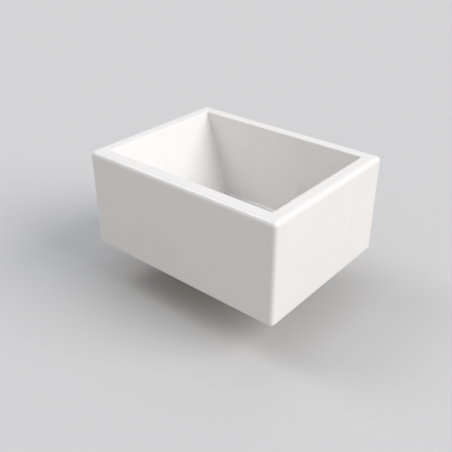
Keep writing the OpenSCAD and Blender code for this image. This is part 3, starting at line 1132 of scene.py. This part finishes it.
    @staticmethod
    def cut(piece: Piece, cutter: Piece) -> None:
        """Takes one piece out of another.

        Args:
            piece: the piece whose mesh is cut.
            cutter: the piece that is taken out of it, and removed.
        """
        tool = piece.modifiers.new("pocket", "BOOLEAN")
        tool.operation = "DIFFERENCE"
        tool.solver = "EXACT"
        tool.object = cutter
        graph = bpy.context.evaluated_depsgraph_get()
        made = bpy.data.meshes.new_from_object(piece.evaluated_get(graph))
        piece.modifiers.clear()
        piece.data = made
        bpy.data.objects.remove(cutter)


# The waste


@dataclass
class StrainerWaste:
    """The basket strainer's fixed pieces: body, seals, nuts and tailpiece."""

    thread_depth: float = 0.85
    shank_r: float = 42.8
    cup_r: float = 40.8
    ledge_r: float = 38.8
    ledge_h: float = 8.0
    foot_r: float = 28.0
    outlet_r: float = 19.5
    spud_r: float = 23.9
    tail_r: float = 19.05
    tail_wall: float = 1.0
    mark_h: float = 8.0
    thread_spare: float = 5.5
    taper_h: float = 10.0
    floor_t: float = 2.0
    cross_ease: float = 0.3

    def __post_init__(self) -> None:
        """Takes the waste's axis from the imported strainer."""
        self.axis = Extent.of("strainer_body").centre[:2]

    def strainer(self) -> Piece:
        """Turns the strainer's profile, with a thread cut on the shank and the spud.

        Returns:
            The strainer's body.
        """
        low, top, edge = Extent.of("strainer_body").drum
        seat, flange_z, _ = Extent.of("flange_seal").drum
        cross_z = Extent.of("outlet_cross").foot
        shank_z = Extent.of("lock_nut").foot - self.thread_spare
        cup_z, ledge_z = shank_z - self.taper_h, seat - self.ledge_h
        base_z = cup_z - self.floor_t
        cup, ledge, shank, spud = self.cup_r, self.ledge_r, self.shank_r, self.spud_r
        foot, outlet = self.foot_r, self.outlet_r
        outline = rounded([
            (edge, flange_z, 0.2), (edge, flange_z + 0.5, 0.25), (edge - 1.6, top, 1.2),
            (cup + 2.4, top, 2.2), (cup, flange_z - 0.8, 1.2), (cup, ledge_z, 0.4),
            (ledge, ledge_z, 0.35), (ledge, shank_z, 3.0), (foot, cup_z, 1.5),
            (outlet, cup_z, 0.8), (outlet, cross_z, 0.2), (outlet - 1.2, cross_z, 0.2),
            (outlet - 1.2, low, 0.4), (spud, low, 0.5), (spud, base_z, 0.6),
            (foot + 1.5, base_z, 1.5), (shank - 1.0, shank_z, 0.8), (shank, shank_z, 0.3),
            (shank, flange_z, 0.3),
        ])
        places = [(shank, shank_z, seat - 1.0), (spud, low, base_z - 1.0)]
        profile, cut = Thread(places, self.thread_depth, fine=0.33, coarse=7.0).cut(outline)
        return turned("strainer_body_turned", profile, self.axis, cut)

    def ring(self, node: str, inner: float, ease: float) -> Piece:
        """A flat ring with eased edges that fills a node's box.

        Args:
            node: the CAD node that it stands for.
            inner: radius of its hole.
            ease: radius of its edges.

        Returns:
            The ring.
        """
        low, high, reach = Extent.of(node).drum
        corners = [(inner, low), (reach, low), (reach, high), (inner, high)]
        return turned(node + "_ring", rounded([(*at, ease) for at in corners], 5), self.axis)

    def tailpiece(self) -> Piece:
        """Turns a flanged tube with a turned mark, drawn as one profile.

        Returns:
            The tailpiece.
        """
        low, high, reach = Extent.of("tailpiece").drum
        mark = Extent.of("coupling_nut").foot - self.mark_h
        tail, neck, bore = self.tail_r, high - 1.2, self.tail_r - self.tail_wall
        outline = rounded([
            (bore, low, 0.3), (tail, low, 0.45), (tail, mark - 1.5, 0.0),
            (tail - 0.3, mark - 1.2, 0.3), (tail - 0.3, mark - 0.3, 0.3), (tail, mark, 0.0),
            (tail, neck, 0.3), (reach, neck, 0.4), (reach, high, 0.4), (bore, high, 0.9),
        ], 5)
        return turned("tailpiece_tube", refined(outline, 8.0), self.axis)

    def build(self, palette: Palette) -> None:
        """Makes the waste's fixed pieces and dresses them.

        Args:
            palette: the finishes.
        """
        shank, spud, tail = self.shank_r, self.spud_r, self.tail_r
        lock = SpannerNut(
            "lock_nut", ring_r=shank + 6.5, collar_r=shank + 8.0, lug_count=6, lug_w=11.0,
            lug_out=4.0, lug_clear=2.0, thread_r=shank,
        )
        coupling = SpannerNut(
            "coupling_nut", ring_r=spud + 4.0, collar_r=spud + 4.0, lug_count=8, lug_w=7.0,
            lug_out=2.5, lug_clear=3.0, thread_r=spud, lip_r=tail + 0.3, lip_t=2.5,
        )
        for piece, slot, node in (
            (self.strainer(), "polished_steel", "strainer_body"),
            (
                dressed_copy("outlet_cross_bars", "outlet_cross", self.cross_ease),
                "polished_steel",
                "outlet_cross",
            ),
            (self.ring("flange_seal", shank + 3.2, 0.35), "grey_foam", "flange_seal"),
            (self.ring("base_seal", shank + 0.4, 0.5), "black_rubber", "base_seal"),
            (self.ring("slip_washer", shank + 0.4, 0.2), "fibre", "slip_washer"),
            (
                self.ring("tailpiece_washer", tail - self.tail_wall, 0.3),
                "white_plastic",
                "tailpiece_washer",
            ),
            (self.tailpiece(), "chromed_brass", "tailpiece"),
            (lock.build(self.axis), "cast_zinc", "lock_nut"),
            (coupling.build(self.axis), "chromed_brass", "coupling_nut"),
        ):
            palette.dress(piece, slot, Body.TROUGH, node)


@dataclass
class SpannerNut:
    """A ring nut with lugs or grips round it and a thread inside."""

    node: str
    ring_r: float
    collar_r: float
    lug_count: int
    lug_w: float
    lug_out: float
    lug_clear: float
    thread_r: float
    lip_r: float = 0.0
    lip_t: float = 0.0
    ease: float = 0.6
    soft: float = 0.18
    thread_depth: float = 0.7

    def lugged(self) -> Array:
        """Outline with the lugs.

        A lug's corners stand at half its width from its middle line, at the ring's radius
        and lug_out beyond the collar, and are turned to each lug's place.

        Returns:
            Points of the outline, shape (n, 2).
        """
        half = self.lug_w / 2
        root, tip = math.sqrt(self.ring_r**2 - half**2), self.collar_r + self.lug_out
        start = math.asin(half / self.ring_r)
        arc = start + (2 * math.pi / self.lug_count - 2 * start) * np.linspace(0, 1, 8)[1:-1]
        one = [(root, -half, 1.2), (tip, -half, 1.0), (tip, half, 1.0), (root, half, 1.2)]
        one += [(x, y, 0.0) for x, y in self.ring_r * spokes(arc)]
        corners = []
        for turn in stations(self.lug_count):
            cos, sin = math.cos(turn), math.sin(turn)
            corners += [(x * cos - y * sin, x * sin + y * cos, r) for x, y, r in one]
        return rounded(corners, 4)

    def build(self, axis: Array) -> Piece:
        """The nut: lugged rings below, the plain collar above, and a threaded bore.

        Args:
            axis: x and y of the axis.

        Returns:
            The nut.
        """
        low, high, _ = Extent.of(self.node).drum
        lug_top, lip_z = high - self.lug_clear, low + self.lip_t
        outline = self.lugged()
        angle = np.arctan2(outline[:, 1], outline[:, 0])
        drawn = np.array([0.0, 0.0, self.soft, self.ease])[:, None]
        collar_z = [lug_top + 0.05, high - self.ease, high - self.soft, high]
        bore_z = [high, *np.arange(high - 0.5, lip_z + 0.2, -0.33), lip_z + 0.02]
        bore = helix(np.array(bore_z), angle, lip_z, high, PIPE_PITCH)
        bore = self.thread_r + 0.75 - self.thread_depth * bore
        bore[0] += 0.3
        lip_r, lips = [self.thread_r + 0.5], [low]
        if self.lip_t:
            lip_r, lips = [self.lip_r, self.lip_r, self.lip_r + 0.3], [lip_z, low + 0.3, low]
        rings = [slab(outline, low, lug_top, self.ease, self.soft)]
        for radius, height in (
            (self.collar_r - drawn, collar_z), (bore, bore_z), (np.array(lip_r)[:, None], lips),
        ):
            rings.append(lifted(radius[..., None] * spokes(angle), np.array(height)[:, None]))
        return torus(self.node + "_cast", np.concatenate(rings) + np.array([*axis, 0.0]))


@dataclass
class LiftBasket:
    """The perforated basket and the spring clip on its hub."""

    basket_ease: float = 0.22
    clip_ease: float = 0.12
    sharp: float = 25.0

    def build(self, palette: Palette) -> None:
        """Makes the basket's pieces and dresses them.

        Args:
            palette: the finishes.
        """
        basket = dressed_copy("basket_pressed", "basket", self.basket_ease, self.sharp)
        palette.dress(basket, "polished_steel", Body.BASKET, "basket")
        clip = dressed_copy("post_clip_sprung", "post_clip", self.clip_ease)
        palette.dress(clip, "polished_steel", Body.BASKET, "post_clip")


@dataclass
class Stopper:
    """The stopper that slides in the basket's hub: seal, washer, nut, post and knob."""

    post_r: float = 2.5
    groove: float = 0.4
    travel: float = 8.0
    plug_r: float = 18.9
    plug_taper: float = 1.0
    lip_h: float = 3.0
    dome_r: float = 14.0
    waist_r: float = 4.4
    waist_out: float = 1.0
    thread_pitch: float = 0.8
    thread_depth: float = 0.3

    def __post_init__(self) -> None:
        """Takes the post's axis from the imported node."""
        self.axis = Extent.of("stopper_post").centre[:2]

    def knob(self) -> Piece:
        """Turns a waist of one arc, an eased edge and a dome of another.

        Returns:
            The knob.
        """
        low, high, reach = Extent.of("stopper_knob").drum
        turn = np.linspace(math.pi, math.acos(-self.waist_out / self.waist_r) + 0.10, 14)
        waist = np.array([reach + self.waist_out, low]) + self.waist_r * spokes(turn)
        edge_z = waist[-1, 1]
        edge = [(reach - 0.10, edge_z + 0.10), (reach, edge_z + 0.25)]
        lean = np.linspace(math.asin((reach - 0.15) / self.dome_r), 0, 16)
        dome = np.array([0.0, high - self.dome_r]) + self.dome_r * spokes(lean)[:, ::-1]
        foot = [(0.0, low), (waist[0, 0] - 0.3, low)]
        waist[0, 1] += 0.3
        profile = np.concatenate([foot, waist, edge, dome])
        return turned("stopper_knob_turned", profile, self.axis, around=64, smooth=40.0)

    def post(self) -> Piece:
        """Turns the post, with its two clip grooves and the thread at its foot.

        Returns:
            The post.
        """
        low, high, _ = Extent.of("stopper_post").drum
        clip, post, deep = Extent.of("post_clip").foot, self.post_r, self.post_r - self.groove
        corners = [(0.0, low, 0.0), (post - 0.5, low, 0.0), (post, low + 0.5, 0.1)]
        for z in (clip - self.travel, clip):
            corners += [(post, z - 0.35, 0.05), (deep, z - 0.15, 0.1)]
            corners += [(deep, z + 0.75, 0.1), (post, z + 0.95, 0.05)]
        outline = rounded([*corners, (post, high, 0.0), (0.0, high, 0.0)], 4)
        places = [(post, low + 0.3, Extent.of("stopper_washer").top + 1.0)]
        parts = {"fine": 0.12, "coarse": 4.0, "around": 40, "near": 0.05}
        thread = Thread(places, self.thread_depth, pitch=self.thread_pitch, **parts)
        profile, cut = thread.cut(outline)
        return turned("stopper_post_turned", profile, self.axis, cut, thread.around)

    def seal(self) -> Piece:
        """Turns the rubber seal: a soft lip, a low crown and a tapered plug.

        Returns:
            The seal.
        """
        low, high, reach = Extent.of("stopper_seal").drum
        lip, post = high - self.lip_h, self.post_r
        outline = rounded([
            (post, low, 0.2), (self.plug_r - self.plug_taper, low, 0.5), (self.plug_r, lip, 0.6),
            (reach, lip, 0.25), (reach - 0.6, lip + 1.5, 0.6), (reach - 4.0, high, 1.5),
            (post, high, 0.2),
        ])
        return turned("stopper_seal_moulded", refined(outline, 3.0), self.axis)

    def washer(self) -> Piece:
        """Turns the backing washer, with eased edges.

        Returns:
            The washer.
        """
        low, high, reach = Extent.of("stopper_washer").drum
        corners = [(self.post_r, low, 0.1), (reach, low, 0.2)]
        corners += [(reach, high, 0.45), (self.post_r, high, 0.2)]
        return turned("stopper_washer_pressed", rounded(corners, 5), self.axis, around=64)

    def build(self, palette: Palette) -> None:
        """Makes the stopper's pieces and dresses them.

        Args:
            palette: the finishes.
        """
        for piece, slot, node in (
            (self.post(), "polished_steel", "stopper_post"),
            (self.knob(), "chromed_brass", "stopper_knob"),
            (self.washer(), "polished_steel", "stopper_washer"),
            (self.seal(), "black_rubber", "stopper_seal"),
            (dressed_copy("stopper_nut_hex", "stopper_nut", 0.25), "chromed_brass", "stopper_nut"),
        ):
            palette.dress(piece, slot, Body.STOPPER, node)


# The brackets


@dataclass
class WallBracket:
    """One welded bracket: wall plate, bearer arm, gusset, their welds and the rubber pad."""

    side: Side
    ease: float = 0.6
    bead: float = 3.4
    ripple: float = 2.6
    taper: float = 14.0
    sunk: float = -0.15
    stitch: float = 38.0
    weld_gap: float = 14.0
    pad_ease: float = 0.6
    pad_soft: float = 0.2

    def node(self, kind: str) -> str:
        """Name of one of this bracket's nodes."""
        return f"{kind}_{self.side.name.lower()}"

    def weld(self, start: Array, end: Array, across: Array, up: Array) -> tuple[Array, list]:
        """One weld bead in an inside corner.

        The section is a quarter disc that bulges between its two legs. It swells and
        leans with each ripple along the bead, and closes in a point at both ends. It is
        the same from both legs, which change places where the bead would be inside out.

        Args:
            start: one end of the corner's line.
            end: its other end.
            across: direction of one leg.
            up: direction of the other leg.

        Returns:
            The bead's points and its faces.
        """
        length = float(np.linalg.norm(end - start))
        ahead = (end - start) / length
        if np.cross(across, up) @ ahead < 0:
            across, up = up, across
        part = np.linspace(0, 1, int(length / self.ripple * 6))[:, None]
        arch = np.sin(part * math.pi)
        wave = np.abs(np.sin(part * length / self.ripple * math.pi))
        size = self.bead * (0.90 + 0.10 * wave)
        size = size * np.minimum(1, np.sqrt(arch * length / self.taper))
        turn = np.linspace(0, QUARTER, 8)
        low, tip = self.sunk, 1.1 + self.sunk
        section = np.concatenate([[[low, low], [tip, low]], spokes(turn) ** 0.8, [[low, tip]]])
        lag = np.concatenate([[0, 0], 0.9 * np.sin(turn * 2), [0]])[:, None]
        points = (start + part * (end - start))[:, None]
        points = points + size[:, None] * (section @ np.stack([across, up]))
        points = points + lag * ahead * ramp(arch, 0, 0.05)[:, None]
        return points.reshape(-1, 3), grid_faces(len(part), len(section), False)

    def welds(self) -> Piece:
        """The bracket's weld beads as one piece.

        Stitches run along the gusset under the arm and down the plate, and one bead joins
        the arm to the plate.

        Returns:
            The beads.
        """
        kinds = ("bearer_arm", "gusset", "wall_plate")
        arm, gusset, plate = (Extent.of(self.node(kind)) for kind in kinds)
        sign, face_y, under = self.side.value, plate.low[1], arm.foot
        inner = gusset.high[0] if sign > 0 else gusset.low[0]
        out, away, down = np.diag([sign, -1.0, -1.0])
        lines = [
            ((inner, y, under), (inner, y - self.stitch, under), out, down)
            for y in np.linspace(face_y - 16, gusset.low[1] + self.weld_gap + self.stitch, 4)
        ] + [
            ((inner, face_y, under - self.weld_gap), (inner, face_y, gusset.foot + 2), out, away),
            ((arm.low[0] + 2, face_y, under), (arm.high[0] - 2, face_y, under), away, down),
        ]
        points, faces, count = [], [], 0
        for start, end, across, up in lines:
            bead, quads = self.weld(np.array(start), np.array(end), across, up)
            points.append(bead)
            faces += [[corner + count for corner in quad] for quad in quads]
            count += len(bead)
        return solid(self.node("weld_beads"), np.concatenate(points), faces, 50.0)

    def pad(self) -> Piece:
        """Makes the rubber pad: a long rounded outline with eased edges.

        Returns:
            The pad.
        """
        box = Extent.of(self.node("bearing_pad"))
        half = box.size[:2] / 2
        outline = rounded([(x * half[0], y * half[1], half[0] - 1) for x, y in SQUARE], 14)
        rings = slab(outline, box.foot, box.top, self.pad_ease, self.pad_soft)
        return capped(self.node("bearing_pad_cut"), rings + np.array([*box.centre[:2], 0.0]))

    def build(self, palette: Palette) -> None:
        """Makes the bracket's pieces and dresses them.

        Args:
            palette: the finishes.
        """
        for kind in ("wall_plate", "bearer_arm", "gusset"):
            steel = dressed_copy(self.node(kind + "_steel"), self.node(kind), self.ease)
            palette.dress(steel, "powder_coat", Body.TROUGH, self.node(kind))
        palette.dress(self.welds(), "powder_coat", Body.TROUGH)
        palette.dress(self.pad(), "pad_rubber", Body.TROUGH, self.node("bearing_pad"))


# The studio


@dataclass(frozen=True)
class SoftLamp:
    """A wide soft lamp, as even all over the object as daylight from a window."""

    name: str
    power: float
    spread: float
    come_from: tuple[float, float, float]
    tint: Colour = (1.0, 1.0, 1.0)

    def build(self) -> None:
        """Hangs the lamp so that it shines from its side."""
        lamp = bpy.data.lights.new(self.name, "SUN")
        lamp.energy = self.power
        lamp.angle = math.radians(self.spread)
        lamp.color = self.tint
        holder = placed(self.name, lamp)
        holder.rotation_euler = Vector(self.come_from).to_track_quat("Z", "Y").to_euler()


@dataclass
class Studio:
    """Pale floor, soft light and the camera at the photograph's place."""

    camera_place: tuple[float, float, float] = (0.9351, -1.3766, 0.9609)
    camera_turn: float = 39.97
    camera_fall: float = 30.06
    lens: float = 50.0
    sensor: float = 36.0
    floor_drop: float = 0.004
    floor_reach: float = 14.0
    matt: Matt = Matt("studio floor", (0.60, 0.60, 0.60), (0.40, 0.40, 0.40))
    zenith: Colour = (0.474, 0.503, 0.555)
    skyline: Colour = (0.645, 0.580, 0.500)
    backdrop: Colour = (0.655, 0.655, 0.660)
    lamps: tuple[SoftLamp, ...] = (
        SoftLamp("key", 2.22, 42.0, (0.783, 0.239, 0.574), (1.0, 0.973, 0.967)),
        SoftLamp("window", 0.64, 26.0, (-0.58, -0.20, 0.79)),
    )

    def floor(self) -> None:
        """The floor, just below the tailpiece."""
        height, reach = float(CAD_BOX[0].z) - self.floor_drop, self.floor_reach
        mesh = bpy.data.meshes.new("floor")
        mesh.from_pydata([(x * reach, y * reach, height) for x, y in SQUARE], [], [[0, 1, 2, 3]])
        mesh.materials.append(self.matt.build(Tree.finish(self.matt.name)))
        floor = placed("floor", mesh)

    def world(self) -> None:
        """Light from all round, graded from the horizon to overhead.

        The camera, and gloss and glass, see a plain pale backdrop in its place.
        """
        world = bpy.data.worlds.new("studio air")
        tree = Tree(world, "World")
        rise = tree.axes(tree.place("Generated"))[2]
        light = tree.blend(rise.step(0.05, 0.85), self.skyline, self.zenith)
        air = tree.add("Background", inputs={"Color": light})
        pale = tree.add("Background", inputs={"Color": (*self.backdrop, 1)})
        tree.end(tree.add("MixShader", inputs={0: tree.seen(), 1: air, 2: pale}))
        bpy.context.scene.world = world

    def camera(self) -> None:
        """The camera, at the place that the photograph's perspective gives."""
        camera = bpy.data.cameras.new("camera")
        camera.lens = self.lens
        camera.sensor_width = self.sensor
        camera.sensor_fit = "HORIZONTAL"
        camera.clip_start = 0.01
        holder = placed("camera", camera)
        holder.location = self.camera_place
        turn = (90 - self.camera_fall, 0.0, self.camera_turn)
        holder.rotation_euler = tuple(math.radians(angle) for angle in turn)
        bpy.context.scene.camera = holder

    def build(self) -> None:
        """Sets up the whole studio and the plain view of its colours."""
        self.floor()
        for lamp in self.lamps:
            lamp.build()
        self.world()
        self.camera()
        bpy.context.scene.view_settings.view_transform = "Standard"


def main() -> None:
    """Builds the trough, its waste and its brackets, and sets up the studio."""
    logging.basicConfig(level=logging.INFO, format="%(name)s: %(message)s")
    basin = Basin()
    palette = Palette(basin)
    palette.dress(basin.build(), "glazed_fireclay", Body.TROUGH, "basin")
    for group in (StrainerWaste(), LiftBasket(), Stopper(), *map(WallBracket, Side)):
        group.build(palette)
    Studio().build()


if __name__ == "__main__":
    main()
